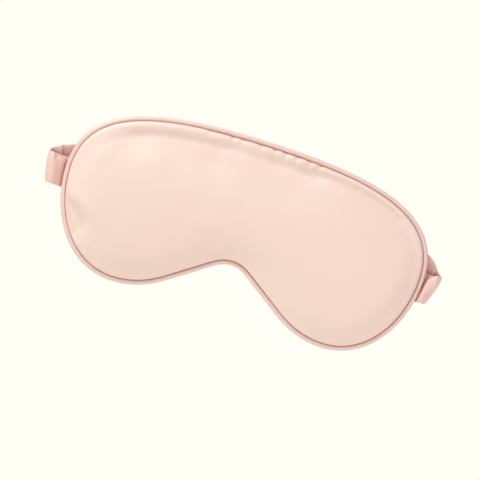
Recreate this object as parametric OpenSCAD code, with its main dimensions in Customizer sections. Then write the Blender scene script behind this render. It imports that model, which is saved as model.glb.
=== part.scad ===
// Sleep eye mask: two satin panels over wadding, a piped edge and an elastic head strap.
// Millimetres. +X is the wearer's left, +Z is up, the front of the mask faces -Y.
// The origin is the middle of the mask, in the plane of its edge seam.

/* [Outline] */
// Width across the piped edge
mask_w = 210; // [190:1:230]
// Height of the brow edge above the origin
brow_z = 47.9; // [44:0.1:54]
// Height of the widest point of the side above the origin
side_z = 1.4; // [-2:0.1:6]
// How flat the brow runs before it turns down
brow_reach = 60; // [52:1:68]
// How square the upper corner is
temple_reach = 39; // [32:1:42]
// How square the lower corner is
cheek_reach = 28; // [22:1:34]
// How flat the bottom of each lobe is
lobe_reach = 26.4; // [20:0.1:32]
// Sideways distance from the middle to the lowest point of a lobe
lobe_x = 61.6; // [56:0.1:66]
// Drop of the lowest point of a lobe below the origin
lobe_drop = 52.9; // [48:0.1:56]
// Radius of the inner side of a lobe
lobe_r = 49.8; // [42:0.1:54]
// Drop of the top of the nose notch below the origin
notch_drop = 24.2; // [20:0.1:28]
// Radius of the nose notch
notch_r = 14.4; // [12:0.1:18]

/* [Panels] */
// Thickness of the satin
satin_t = 0.4; // [0.3:0.05:0.5]
// Height of the front panel's dome
front_dome = 8; // [6.5:0.5:12]
// Height of the back panel's dome
back_dome = 5.5; // [5.5:0.1:6.2]
// Thickness of the blackout lining
lining_t = 0.25; // [0.2:0.01:0.25]
// Width of the seam allowance inside the edge
allowance = 5; // [4:0.5:5]

/* [Piping] */
// Outer diameter of the piped edge
piping_d = 2.9; // [2.4:0.1:3.0]
// Thickness of the bias strip round the cord
bias_t = 0.27; // [0.2:0.01:0.28]

/* [Strap] */
// Width of the strap
strap_w = 17.3; // [14:0.1:20]
// Thickness of the strap, satin tube and elastic together
strap_t = 2.2; // [2.2:0.1:2.4]
// Height of the strap's sewn ends
strap_z = -3.4; // [-6:0.1:0]
// How far the folded strap stands out past the side of the mask
strap_out = 8.5; // [7.5:0.1:14]
// Inner radius of the side fold
fold_r = 2.2; // [2.2:0.1:3]
// Lean of the side fold from upright, which sets how steeply the strap rises behind the mask
fold_lean = 12; // [8:0.5:16]
// Width of the elastic
elastic_w = 14; // [10:0.5:14]
// Thickness of the elastic
elastic_t = 0.95; // [0.8:0.05:0.95]

/* [Thread] */
// Diameter of the sewing thread
thread_d = 0.3; // [0.2:0.05:0.3]
// Half the length of the hand-closed gap in the brow edge
gap_half = 33; // [25:1:40]
// Hand stitches on each side of the middle
gap_stitches = 6; // [4:1:7]
// Bars in the tack that holds each end of the strap
tack_bars = 5; // [3:1:6]

/* [Hidden] */

slack = 0.05;                                  // air between two layers that lie together
seam_air = 0.12;                               // air between the seam threads and the allowances
dome_mid_z = 8;                                // height of the middle of each dome
squeeze = [0.5, 0.9];                          // how fast a dome's rings shrink in width and height
piping_r = piping_d / 2;
bore_r = piping_r - bias_t;                    // inside of the bias strip
cord_air = 0.1;                                // air between the cord and the bias strip
cord_r = bore_r - cord_air;
flange_y = bias_t + slack / 2;                 // outer face of the piping's flange
seam_gap = 0.2;                                // from the piped bead in to the seam
seam_in = piping_d + seam_gap;                 // inset of the seam from the mask's outline
stitch_in = seam_in + 1;                       // inset of the seam threads, on the allowances
lining_y = flange_y + slack;                   // rear face of the lining
front_edge = lining_y + lining_t + slack;      // seam face of the front panel, forward
back_edge = flange_y + slack;                  // seam face of the back panel, rearward
strap_y = piping_r + slack + strap_t / 2;      // middle of the strap where it leaves the seam
sewn_air = 0.1;
sewn_y = strap_y + strap_t / 2 + sewn_air;     // the back panel passes behind the sewn end here
turn_r = fold_r + strap_t / 2;                 // middle radius of the fold
back_y = strap_y + 2 * turn_r;                 // middle of the strap behind the mask
turn_x = mask_w / 2 + strap_out - turn_r - strap_t / 2;
sewn_x = mask_w / 2 - seam_in - allowance;     // inner end of the strap
climb = PI * turn_r * tan(fold_lean);          // rise along the fold's axis in half a turn
arch_deg = 2 * fold_lean;                      // slope of the strap where the arch begins
tail_spare = 0.3;
tail = strap_w / 2 * tan(fold_lean) + tail_spare;  // straight stretch between the fold and the arch
run_end = [turn_x + climb * sin(fold_lean) - tail * cos(arch_deg),
    strap_z + climb * cos(fold_lean) + tail * sin(arch_deg)];
arch_r = run_end[0] / sin(arch_deg);
arch_z = run_end[1] - arch_r * cos(arch_deg);  // height of the arch's centre
arch_gap = slack / arch_r * 180 / PI;
cover_t = satin_t * 0.75;                      // the strap's satin is a lighter cloth
elastic_y = strap_t / 2 - cover_t - slack - elastic_t / 2;  // from the middle of the strap
satin_pink = [0.98, 0.87, 0.82];
satin_deep = [0.91, 0.78, 0.74];
thread_pink = [0.88, 0.68, 0.65];

// ---- outline: half from the brow to the notch, then mirrored ----

function bezier(a, b, c, d, t) =
    pow(1 - t, 3) * a + 3 * pow(1 - t, 2) * t * b + 3 * (1 - t) * t * t * c + pow(t, 3) * d;

function brow_point(t) = bezier([0, brow_z], [brow_reach, brow_z],
    [mask_w / 2, side_z + temple_reach], [mask_w / 2, side_z], t);

function cheek_point(t) = bezier([mask_w / 2, side_z], [mask_w / 2, side_z - cheek_reach],
    [lobe_x + lobe_reach, -lobe_drop], [lobe_x, -lobe_drop], t);

// Slope angle of the straight line that touches both the lobe's arc and the notch's arc
reach_sum = lobe_r + notch_r;
slope_z = reach_sum - (lobe_drop - notch_drop);
slope_deg = asin(reach_sum / norm([lobe_x, slope_z])) - atan2(slope_z, lobe_x);

BROW_STEPS = 24;
CHEEK_STEPS = 16;
ARC_STEPS = 5;
function lobe_point(a) = [lobe_x - lobe_r * sin(a), lobe_r * (1 - cos(a)) - lobe_drop];
function notch_point(a) = [notch_r * sin(a), notch_r * (cos(a) - 1) - notch_drop];

half_outline = [
    for (i = [0:BROW_STEPS - 1]) brow_point(i / BROW_STEPS),
    for (i = [0:CHEEK_STEPS - 1]) cheek_point(i / CHEEK_STEPS),
    for (i = [0:ARC_STEPS]) lobe_point(slope_deg * i / ARC_STEPS),
    for (i = [ARC_STEPS:-1:0]) notch_point(slope_deg * i / ARC_STEPS)
];
LAST = len(half_outline) - 1;
outline = [each half_outline, for (i = [LAST - 1:-1:1]) [-half_outline[i][0], half_outline[i][1]]];
COUNT = len(outline);

function unit(v) = v / norm(v);
function across(v) = [-v[1], v[0]];

// Inward normals, from the two neighbouring points
inward = [for (i = [0:COUNT - 1])
    -across(unit(outline[(i + 1) % COUNT] - outline[(i + COUNT - 1) % COUNT]))];
function edge_point(i, inset) = outline[i] + inset * inward[i];
function in_gap(p) = abs(p[0]) < gap_half && p[1] > 0;

// 1 behind the sewn end of a strap, 0 away from it
flat_half = strap_w / 2 + 4;
flat_fade = 6;
function over_strap(x, z) = let (d = (abs(z - strap_z) - flat_half) / flat_fade)
    abs(x) < mask_w / 4 || d >= 1 ? 0 : d <= 0 ? 1 : (1 + cos(180 * d)) / 2;

// ---- solids from rows of points ----

function reversed(list) = [for (j = [len(list) - 1:-1:0]) list[j]];

// Faces that close one end: the whole row, or for a row that doubles back on itself, quads across it
function end_cap(first, n, doubled) = doubled
    ? [for (j = [0:n / 2 - 2]) [first + j, first + j + 1, first + n - 2 - j, first + n - 1 - j]]
    : [[for (j = [0:n - 1]) first + j]];

// Joins rows of points into a solid: a capped stack, or a closed ring
module skin(rows, closed = false, flip = false, doubled = false) {
    n = len(rows[0]);
    m = len(rows);
    sides = [for (i = [0:closed ? m - 1 : m - 2], j = [0:n - 1])
        let (a = i * n, b = (i + 1) % m * n, k = (j + 1) % n)
            each [[a + j, a + k, b + k], [a + j, b + k, b + j]]];
    start = [for (f = end_cap(0, n, doubled)) reversed(f)];
    faces = closed ? sides : concat(sides, start, end_cap((m - 1) * n, n, doubled));
    polyhedron([for (r = rows) each r], flip ? [for (f = faces) reversed(f)] : faces, convexity = 10);
}

// One ring of a dome: ring = [inset, shrink, height, height over the strap's sewn end]
function dome_ring(ring, side) = [for (i = [0:COUNT - 1]) let (
    p = edge_point(i, ring[0]),
    x = p[0] * (1 - ring[1] * squeeze[0]),
    z = dome_mid_z + (p[1] - dome_mid_z) * (1 - ring[1] * squeeze[1]),
    lifted = len(ring) > 3 ? ring[3] : ring[2],
    y = ring[2] + (lifted - ring[2]) * over_strap(x, z)) [x, side * y, z]];

module dome(rings, side) {
    skin([for (r = rings) dome_ring(r, side)], flip = side > 0);
}

// Shrink of each ring of a dome, from its crown outward, and the share of the full height there
CROWN = [[0.7, 1], [0.4, 0.93], [0.18, 0.74]];

rim_share = 0.45;      // height of a panel's rim, as a share of its dome
foot_share = 0.15;     // height of the upright edge below the rim, as a share of the dome
rim_in = 1.2;          // inset of the rim from the seam
fold_t = 0.5;          // thickness of the upright edge, where the cloth is folded hard
wall_t = 0.6;          // level thickness of the cloth at the rim, where it slopes
rim_drop = 0.3;        // height from the rim's outer face down to its inner face
foot_rise = 0.2;       // height from the top of the upright edge to the same point inside
strap_room = 0.85;     // height left over a sewn strap end for the seam thread
strap_rise = 0.2;      // height of the rim above the upright edge, over a sewn strap end

// A satin panel: its dome, its edge turned in at the seam, and the allowance inside
module panel(height, edge, side, sewn_edge) {
    rim = edge + rim_share * height;
    foot = edge + foot_share * height;
    high_foot = sewn_edge > edge ? sewn_edge + satin_t + strap_room : foot;
    high_rim = sewn_edge > edge ? high_foot + strap_rise : rim;
    heights = [for (c = CROWN) edge + c[1] * height];
    dome([
        for (i = [0:2]) [seam_in, CROWN[i][0], heights[i], max(heights[i], high_rim)],
        [seam_in + rim_in, 0, rim, high_rim],
        [seam_in, 0, foot, high_foot],
        [seam_in, 0, edge, sewn_edge],
        [seam_in + allowance, 0, edge, sewn_edge],
        [seam_in + allowance, 0, edge + satin_t, sewn_edge + satin_t],
        [seam_in + fold_t, 0, edge + satin_t, sewn_edge + satin_t],
        [seam_in + wall_t, 0, foot + foot_rise, high_foot - satin_t + slack],
        [seam_in + rim_in + wall_t, 0, rim - rim_drop, high_rim - satin_t],
        for (i = [2:-1:0])
            [seam_in + satin_t, CROWN[i][0], heights[i] - satin_t, max(heights[i], high_rim) - satin_t]
    ], side);
}

// ---- mask ----

module front_panel() {
    color(satin_pink) panel(front_dome, front_edge, -1, front_edge);
}

module back_panel() {
    color(satin_pink) panel(back_dome, back_edge, 1, sewn_y);
}

pad_clear = satin_t + 0.35;                // from the crown of a panel's outer face down to the wadding
pad_in = seam_in + 0.9;                    // inset of the wadding under the crown
pad_edge = seam_in + allowance + 0.6;      // inset of the wadding where it lies inside the allowance
pad_rim = seam_in + 2;                     // inset of the wadding that bulges over the allowance
pad_round = 0.6;                           // rounding of that bulge
pad_back_share = 0.35;                     // height of the back wadding's edge, as a share of its dome

module front_wadding() {
    color("ivory") dome([
        [pad_edge + 0.1, 0, front_edge],
        [pad_edge, 0, front_edge + satin_t + 0.1],
        [pad_rim, 0, front_edge + satin_t + 0.15],
        [pad_rim + pad_round, 0, front_edge + rim_share * front_dome - pad_round],
        for (i = [2:-1:0])
            [pad_in, CROWN[i][0], front_edge + CROWN[i][1] * front_dome - pad_clear]
    ], -1);
}

module back_wadding() {
    color("ivory") dome([
        [pad_edge + 0.2, 0, slack - lining_y],
        [pad_edge + 0.2, 0, back_edge + pad_back_share * back_dome],
        for (i = [2:-1:0])
            [pad_in, CROWN[i][0], back_edge + CROWN[i][1] * back_dome - pad_clear]
    ], 1);
}

lining_in = 0.3;  // inset of the lining from the seam

module blackout_lining() {
    color("dimgray") translate([0, -lining_y, 0]) rotate([90, 0, 0]) linear_extrude(lining_t)
        polygon([for (i = [0:COUNT - 1]) edge_point(i, seam_in + lining_in)]);
}

// ---- piping ----

// Places a cross-section of [inset, y] points at every point of the outline
function edge_rows(section, keep) = [for (i = keep)
    [for (s = section) let (p = edge_point(i, s[0])) [p[0], s[1], p[1]]]];
ALL_ROUND = [for (i = [0:COUNT - 1]) i];

module piping_cover() {
    open_deg = asin(flange_y / piping_r);
    slit = slack / 2;
    slit_deg = 2;  // where the bore opens into the slit between the two flanges
    bead = 8;      // sides of the bead
    section = [
        for (k = [0:bead]) let (a = open_deg + (360 - 2 * open_deg) * k / bead)
            [piping_r + piping_r * cos(a), piping_r * sin(a)],
        [seam_in + allowance, -flange_y],
        [seam_in + allowance, -slit],
        for (k = [0:bead + 1]) let (a = 360 - slit_deg - (360 - 2 * slit_deg) * k / (bead + 1))
            [piping_r + bore_r * cos(a), k == 0 ? -slit : k == bead + 1 ? slit : bore_r * sin(a)],
        [seam_in + allowance, slit],
        [seam_in + allowance, flange_y]
    ];
    color(satin_deep) skin(edge_rows(section, ALL_ROUND), closed = true);
}

module piping_cord() {
    section = [for (k = [0:7]) piping_r * [1, 0] + cord_r * [cos(45 * k), sin(45 * k)]];
    color("white") skin(edge_rows(section, ALL_ROUND), closed = true);
}

// Two threads of the edge seam, one on each allowance, open at the hand-closed gap
module edge_seam() {
    sewn = [for (i = ALL_ROUND) if (!in_gap(outline[i])) i];
    r = thread_d / 2;
    square_section = [[-r, -r], [r, -r], [r, r], [-r, r]];
    color(thread_pink) {
        middle = [stitch_in, -(front_edge + satin_t + seam_air + r)];
        skin(edge_rows([for (s = square_section) middle + s], sewn));
        skin([for (i = sewn) [for (s = square_section) let (
            p = edge_point(i, stitch_in + s[0]),
            y = back_edge + (sewn_y - back_edge) * over_strap(p[0], p[1]))
                [p[0], y + satin_t + seam_air + r + s[1], p[1]]]]);
    }
}

// A straight piece of thread between two points
module thread_bar(a, b) {
    d = b - a;
    translate(a) rotate([0, acos(d[2] / norm(d)), atan2(d[1], d[0])])
        cylinder(d = thread_d, h = norm(d), $fn = 16);
}

// Hand stitches from the top of the piping in to the front panel's edge
module closing_stitches() {
    reach = 0.19;                      // share of the brow curve that the stitches cover
    out_in = piping_r + 0.6;           // inset of each stitch's end on the piping
    out_y = piping_r + 0.3;
    in_in = seam_in + 0.1;             // inset of its end in the panel
    in_y = 2.4;
    color(thread_pink) for (side = [-1, 1], k = [1:gap_stitches]) {
        t = reach * (k - 0.5) / gap_stitches;
        p = brow_point(t);
        down = across(unit(brow_point(t + 0.01) - p)) * -1;
        out = p + out_in * down;
        in = p + in_in * down;
        thread_bar([side * out[0], -out_y, out[1]], [side * in[0], -in_y, in[1]]);
    }
}

// ---- strap ----

// The strap leaves the seam level, wraps a leaning axis by half a turn and comes back rising.
// Each station of its path on the +X side is [centre, across, outward]. Round the fold, the
// stations lie along the axis, so the strap stays a flat band that is only bent.
axis_up = [sin(fold_lean), 0, cos(fold_lean)];
axis_out = [cos(fold_lean), 0, -sin(fold_lean)];
function wrap_station(turn) = let (
    away = sin(turn) * axis_out - [0, cos(turn), 0],
    rise = turn_r * PI / 180 * turn * tan(fold_lean))
        [[turn_x, strap_y, strap_z] + rise * axis_up + turn_r * (away + [0, 1, 0]),
            axis_up / cos(fold_lean), away];
TURN_STEPS = 15;
stations = [
    [[sewn_x, strap_y, strap_z], [0, 0, 1], [0, -1, 0]],
    for (k = [0:TURN_STEPS]) wrap_station(180 * k / TURN_STEPS),
    [[run_end[0], back_y, run_end[1]], [sin(arch_deg), 0, cos(arch_deg)], [0, 1, 0]]
];

// Cross-sections are [across the strap, outward from the loop]
edge_half = [strap_w, strap_t] / 2;
inner_half = edge_half - [cover_t, cover_t];
slit_half = 0.1;
lip = 0.06;  // the two edges at the slit are pressed slightly inward
cover_section = [
    [slit_half, lip - edge_half[1]], [edge_half[0], -edge_half[1]], edge_half,
    [-edge_half[0], edge_half[1]], -edge_half, [-slit_half, lip - edge_half[1]],
    [-slit_half, lip - inner_half[1]], -inner_half, [-inner_half[0], inner_half[1]],
    inner_half, [inner_half[0], -inner_half[1]], [slit_half, lip - inner_half[1]]
];
elastic_section = [for (c = [[-1, -1], [1, -1], [1, 1], [-1, 1]])
    [c[0] * elastic_w / 2, elastic_y + c[1] * elastic_t / 2]];

// One side of the strap, from the seam round the fold
module side_fold(section, side) {
    mirror([side < 0 ? 1 : 0, 0, 0])
        skin([for (s = stations) [for (c = section) s[0] + c[0] * s[1] + c[1] * s[2]]], doubled = true);
}

// The arched run behind the mask, for a cross-section of the strap
module back_run(section) {
    sweep = 2 * (arch_deg - arch_gap);
    translate([0, back_y, arch_z]) rotate([90, 0, 0]) rotate([0, 0, 90 - sweep / 2])
        rotate_extrude(angle = sweep, $fn = 360)
            polygon([for (c = section) [arch_r + c[0], -c[1]]]);
}

module left_strap_fold() {
    color(satin_pink) side_fold(cover_section, 1);
}

module right_strap_fold() {
    color(satin_pink) side_fold(cover_section, -1);
}

module left_elastic_end() {
    color("white") side_fold(elastic_section, 1);
}

module right_elastic_end() {
    color("white") side_fold(elastic_section, -1);
}

module strap_cover() {
    color(satin_pink) back_run(cover_section);
}

module strap_elastic() {
    color("white") back_run(elastic_section);
}

// The seam that closes the satin tube, inside it along the slit
module strap_seam() {
    r = thread_d / 2;
    y = r + lip + slack - inner_half[1];
    color(thread_pink) back_run([[-r, y - r], [r, y - r], [r, y + r], [-r, y + r]]);
}

// Bars of thread between the strap's end and the piping's flange
module strap_tack(side) {
    bar_l = 2.4;
    margin = 2;  // from the strap's edge to the first bar
    pitch = (strap_w - 2 * margin) / (tack_bars - 1);
    mid_x = (sewn_x + mask_w / 2 - seam_in) / 2;
    mid_y = (flange_y + strap_y - strap_t / 2) / 2;
    for (k = [0:tack_bars - 1]) {
        z = strap_z + (k - (tack_bars - 1) / 2) * pitch;
        thread_bar([side * mid_x - bar_l / 2, mid_y, z], [side * mid_x + bar_l / 2, mid_y, z]);
    }
}

module left_strap_tack() {
    color(thread_pink) strap_tack(1);
}

module right_strap_tack() {
    color(thread_pink) strap_tack(-1);
}

front_panel();
front_wadding();
blackout_lining();
back_wadding();
back_panel();
piping_cover();
piping_cord();
edge_seam();
closing_stitches();
left_strap_tack();
right_strap_tack();
left_strap_fold();
right_strap_fold();
left_elastic_end();
right_elastic_end();
strap_cover();
strap_elastic();
strap_seam();
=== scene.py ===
"""Looks of the sleep eye mask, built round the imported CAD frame. All lengths are in metres."""
import math

import bpy
import numpy as np
from mathutils import Matrix, Vector, noise
from mathutils.bvhtree import BVHTree
from mathutils.geometry import delaunay_2d_cdt


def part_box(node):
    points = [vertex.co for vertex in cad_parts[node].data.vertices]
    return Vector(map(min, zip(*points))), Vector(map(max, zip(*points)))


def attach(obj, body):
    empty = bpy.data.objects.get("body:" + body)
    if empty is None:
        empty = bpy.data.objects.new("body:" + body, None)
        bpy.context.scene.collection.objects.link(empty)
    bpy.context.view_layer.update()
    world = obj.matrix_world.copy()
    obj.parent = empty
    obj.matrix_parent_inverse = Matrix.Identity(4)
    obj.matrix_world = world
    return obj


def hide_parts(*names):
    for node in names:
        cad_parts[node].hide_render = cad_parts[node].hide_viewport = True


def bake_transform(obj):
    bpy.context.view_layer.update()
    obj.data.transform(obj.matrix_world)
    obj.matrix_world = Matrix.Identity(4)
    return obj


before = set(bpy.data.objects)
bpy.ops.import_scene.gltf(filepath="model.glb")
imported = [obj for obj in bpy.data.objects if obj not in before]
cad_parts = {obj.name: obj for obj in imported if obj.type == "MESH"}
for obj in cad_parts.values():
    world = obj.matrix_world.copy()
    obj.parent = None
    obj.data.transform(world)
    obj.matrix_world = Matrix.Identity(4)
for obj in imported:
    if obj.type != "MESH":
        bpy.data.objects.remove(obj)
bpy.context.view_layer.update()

MM = 0.001

# ---- sizes: from the frame where the frame has them ----

piping_low, piping_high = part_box("piping_cover")
lining_low, lining_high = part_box("blackout_lining")
fold_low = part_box("left_strap_fold")[0]
run_low, run_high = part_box("strap_cover")

PIPING_R = (piping_high.y - piping_low.y) / 2
LINING_INSET = piping_high.x - lining_high.x
SEAM_INSET = 3.1 * MM            # inset of the seam from the piped outline
FRONT_DOME = 8.4 * MM            # height of the front panel over its seam
BACK_DOME = 5.6 * MM
FRONT_EDGE = -lining_low.y + 0.05 * MM   # how far the front panel's seam lies before the seam plane
BACK_EDGE = 0.35 * MM            # and the back panel's behind it
SATIN_T = 0.32 * MM
THREAD_GAP = 0.27 * MM           # from a panel's seam allowance to the middle of its thread
THREAD_R = 0.14 * MM
HAND_SEWN = 33 * MM              # half the length of brow that is closed by hand

STRAP_T = run_high.y - run_low.y
STRAP_W = 17.3 * MM
STRAP_Y = fold_low.y + STRAP_T / 2       # middle of the strap at its sewn end
BACK_Y = run_high.y - STRAP_T / 2        # middle of the strap behind the mask
STRAP_Z = -3.4 * MM                      # height of the strap's middle at its sewn ends
ARCH_TOP = run_high.z - STRAP_W / 2      # and halfway behind the mask, where it is highest
SEWN_X = fold_low.x
TURN_X = piping_high.x + 4.1 * MM        # middle of the side loop


# ---- closed outlines, as N x 2 arrays of (x, z) ----

def perimeter(name):
    """Outline of a flat CAD node, walked along the edges that bound its rear face."""
    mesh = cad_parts[name].data
    level = max(v.co.y for v in mesh.vertices)
    count = {}
    for p in mesh.polygons:
        if all(abs(mesh.vertices[i].co.y - level) < 1e-6 for i in p.vertices):
            for key in p.edge_keys:
                count[key] = count.get(key, 0) + 1
    follows = {}
    for (a, b), n in count.items():
        if n == 1:
            follows.setdefault(a, []).append(b)
            follows.setdefault(b, []).append(a)
    start = min(follows)
    walk = [start, follows[start][0]]
    while True:
        ahead = [i for i in follows[walk[-1]] if i != walk[-2]][0]
        if ahead == start:
            break
        walk.append(ahead)
    loop = np.array([[mesh.vertices[i].co.x, mesh.vertices[i].co.z] for i in walk])
    return loop if area(loop) > 0 else loop[::-1]


def area(loop):
    ahead = np.roll(loop, -1, axis=0)
    return 0.5 * float(np.sum(loop[:, 0] * ahead[:, 1] - ahead[:, 0] * loop[:, 1]))


def resample(loop, step):
    """The same closed loop with evenly spaced points."""
    closed = np.vstack([loop, loop[:1]])
    along = np.concatenate([[0], np.cumsum(np.hypot(*np.diff(closed, axis=0).T))])
    count = int(round(along[-1] / step))
    at = np.linspace(0, along[-1], count, endpoint=False)
    return np.column_stack([np.interp(at, along, closed[:, k]) for k in (0, 1)])


def soften(loop, passes):
    for _ in range(passes):
        loop = (np.roll(loop, 1, axis=0) + 2 * loop + np.roll(loop, -1, axis=0)) / 4
    return loop


def outward(loop):
    """Unit normals that point out of a counter-clockwise loop."""
    d = np.roll(loop, -1, axis=0) - np.roll(loop, 1, axis=0)
    d /= np.hypot(*d.T)[:, None]
    return np.column_stack([d[:, 1], -d[:, 0]])


def grown(loop, distance):
    return loop + distance * outward(loop)


def inside(loop, x, z):
    """True for the points that lie inside the loop."""
    hit = np.zeros(x.shape, bool)
    ahead = np.roll(loop, -1, axis=0)
    for (xa, za), (xb, zb) in zip(loop, ahead):
        if za != zb:
            crosses = (za > z) != (zb > z)
            hit ^= crosses & (x < (xb - xa) * (z - za) / (zb - za) + xa)
    return hit


OUTLINE_STEP = 0.5 * MM
SOFTENINGS = 40

lining_outline = soften(resample(perimeter("blackout_lining"), OUTLINE_STEP), SOFTENINGS)
seam_outline = grown(lining_outline, LINING_INSET - SEAM_INSET)
piping_outline = grown(lining_outline, LINING_INSET - PIPING_R)


# ---- the pillow: how high a filled sheet stands over each point ----

class Pillow:
    """Height of a soap film blown up over the outline, 1 at the highest point, on a square grid."""
    CELL = 1.0 * MM
    SWEEPS = 420
    RELAX = 1.93

    def __init__(self, outline):
        self.low = outline.min(0) - 2 * self.CELL
        size = outline.max(0) + 2 * self.CELL - self.low
        nx, nz = (int(round(s / self.CELL)) + 1 for s in size)
        x = self.low[0] + self.CELL * np.arange(nx)[:, None] + np.zeros((nx, nz))
        z = self.low[1] + self.CELL * np.arange(nz)[None, :] + np.zeros((nx, nz))
        filled = inside(resample(outline, 2 * MM), x, z)
        checker = (np.arange(nx)[:, None] + np.arange(nz)[None, :]) % 2
        h = np.zeros((nx, nz))
        for _ in range(self.SWEEPS):
            for colour in (0, 1):
                around = np.zeros_like(h)
                around[1:-1, 1:-1] = (h[2:, 1:-1] + h[:-2, 1:-1] + h[1:-1, 2:] + h[1:-1, :-2] + 1) / 4
                chosen = filled & (checker == colour)
                h[chosen] += self.RELAX * (around[chosen] - h[chosen])
        self.height = h / h.max()

    def at(self, x, z):
        """Height at any points, by linear interpolation."""
        fx = np.clip((x - self.low[0]) / self.CELL, 0, self.height.shape[0] - 1.001)
        fz = np.clip((z - self.low[1]) / self.CELL, 0, self.height.shape[1] - 1.001)
        i, k = fx.astype(int), fz.astype(int)
        u, v = fx - i, fz - k
        h = self.height
        return ((1 - u) * (1 - v) * h[i, k] + u * (1 - v) * h[i + 1, k]
                + (1 - u) * v * h[i, k + 1] + u * v * h[i + 1, k + 1])


pillow = Pillow(seam_outline)


def crown(x, z, power):
    return np.maximum(pillow.at(x, z), 0) ** power


# ---- meshes ----

def make_object(name, verts, faces):
    mesh = bpy.data.meshes.new(name)
    mesh.from_pydata([tuple(v) for v in verts], [], faces)
    mesh.validate()
    mesh.shade_smooth()
    obj = bpy.data.objects.new(name, mesh)
    bpy.context.scene.collection.objects.link(obj)
    return obj


def filling(edge, step):
    """An even triangle mesh inside a closed line of points, which come first: (points, triangles)."""
    low, high = edge.min(0), edge.max(0)
    row = step * math.sqrt(3) / 2
    points = []
    for k, z in enumerate(np.arange(low[1], high[1], row)):
        points += [(x, z) for x in np.arange(low[0] + (k % 2) * step / 2, high[0], step)]
    points = np.array(points)
    limit = resample(grown(edge, -0.6 * step), 2 * step)
    points = points[inside(limit, points[:, 0], points[:, 1])]
    every = np.vstack([edge, points]) / MM
    ring = [(i, (i + 1) % len(edge)) for i in range(len(edge))]
    verts, _, faces, _, _, _ = delaunay_2d_cdt([Vector(p) for p in every], ring, [], 1, 1e-6)
    return np.array([tuple(v) for v in verts]) * MM, [tuple(f) for f in faces]


def ring_faces(first, second, count):
    """Quads between two closed rows of points, given the number of each row's first point."""
    return [(first + i, second + i, second + (i + 1) % count, first + (i + 1) % count)
            for i in range(count)]


def skin(rows, first=0):
    """Quads between rows of points. Each row is closed, and first is the number of the first point."""
    k = len(rows[0])
    faces = []
    for i in range(len(rows) - 1):
        for j in range(k):
            n = (j + 1) % k
            quad = (i * k + j, (i + 1) * k + j, (i + 1) * k + n, i * k + n)
            faces.append(tuple(first + corner for corner in quad))
    return faces


def tube(rows, first=0):
    """A tube through rows of points, closed at both ends: (vertices, faces)."""
    k = len(rows[0])
    last = first + (len(rows) - 1) * k
    ends = [tuple(first + j for j in range(k)), tuple(last + j for j in reversed(range(k)))]
    return [v for row in rows for v in row], skin(rows, first) + ends


def round_turns(count):
    return np.linspace(0, 2 * math.pi, count, endpoint=False)


def apply_modifiers(obj):
    graph = bpy.context.evaluated_depsgraph_get()
    mesh = bpy.data.meshes.new_from_object(obj.evaluated_get(graph))
    obj.modifiers.clear()
    obj.data = mesh
    mesh.shade_smooth()


def subdivide(obj):
    m = obj.modifiers.new("subdivide", "SUBSURF")
    m.levels = m.render_levels = 1
    apply_modifiers(obj)


def thicken(obj, thickness):
    """Adds the cloth's thickness behind its outer face."""
    m = obj.modifiers.new("thicken", "SOLIDIFY")
    m.thickness = thickness
    m.offset = -1
    m.use_quality_normals = True
    apply_modifiers(obj)


# ---- cloth ----

SIM_SCALE = 10                   # the cloth solver is steadier on a larger piece
SIM_FRAMES = 20
CLOTH = {
    "quality": 8, "mass": 0.15, "tension_stiffness": 12, "compression_stiffness": 12, "shear_stiffness": 6,
    "bending_stiffness": 0.25, "tension_damping": 8, "compression_damping": 8, "shear_damping": 8,
    "air_damping": 3, "vertex_group_mass": "pinned", "vertex_group_shrink": "loose", "shrink_min": 0,
    "shrink_max": -0.16, "use_pressure": True,
}


def simulate(points, faces, pinned, loose, still, pressure, cap):
    """Lets a sheet settle under air pressure, each point moving by cap at most.

    loose is the share of extra cloth at each point, and still the share of its motion that is held back."""
    obj = make_object("cloth_run", points * SIM_SCALE, faces)
    for name, weights in (("pinned", pinned), ("loose", loose)):
        group = obj.vertex_groups.new(name=name)
        for i in np.nonzero(weights > 0.01)[0]:
            group.add([int(i)], float(weights[i]), "REPLACE")
    m = obj.modifiers.new("cloth", "CLOTH")
    for setting, value in CLOTH.items():
        setattr(m.settings, setting, value)
    m.settings.uniform_pressure_force = pressure
    m.settings.effector_weights.gravity = 0
    m.collision_settings.use_collision = False
    m.point_cache.frame_start = 1
    m.point_cache.frame_end = SIM_FRAMES
    for f in range(1, SIM_FRAMES + 1):
        bpy.context.scene.frame_set(f)
    done = obj.evaluated_get(bpy.context.evaluated_depsgraph_get())
    moved = np.array([v.co for v in done.data.vertices]) / SIM_SCALE - points
    bpy.context.scene.frame_set(1)
    bpy.data.objects.remove(obj)
    size = np.linalg.norm(moved, axis=1)
    moved *= np.minimum(1, cap / np.maximum(size, 1e-9))[:, None]
    return points + moved * (1 - still)[:, None]


# ---- small shapes that the panels share ----

def ramp(value, low, high):
    """0 below low, 1 above high, and smooth between them."""
    t = np.clip((value - low) / (high - low), 0, 1)
    return t * t * (3 - 2 * t)


def bell(value, at, width):
    return math.exp(-((value - at) / width) ** 2)


def soft_noise(x, z, scale, seed):
    return np.array([noise.noise(Vector((a / scale, seed, b / scale))) for a, b in zip(x, z)])


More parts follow.
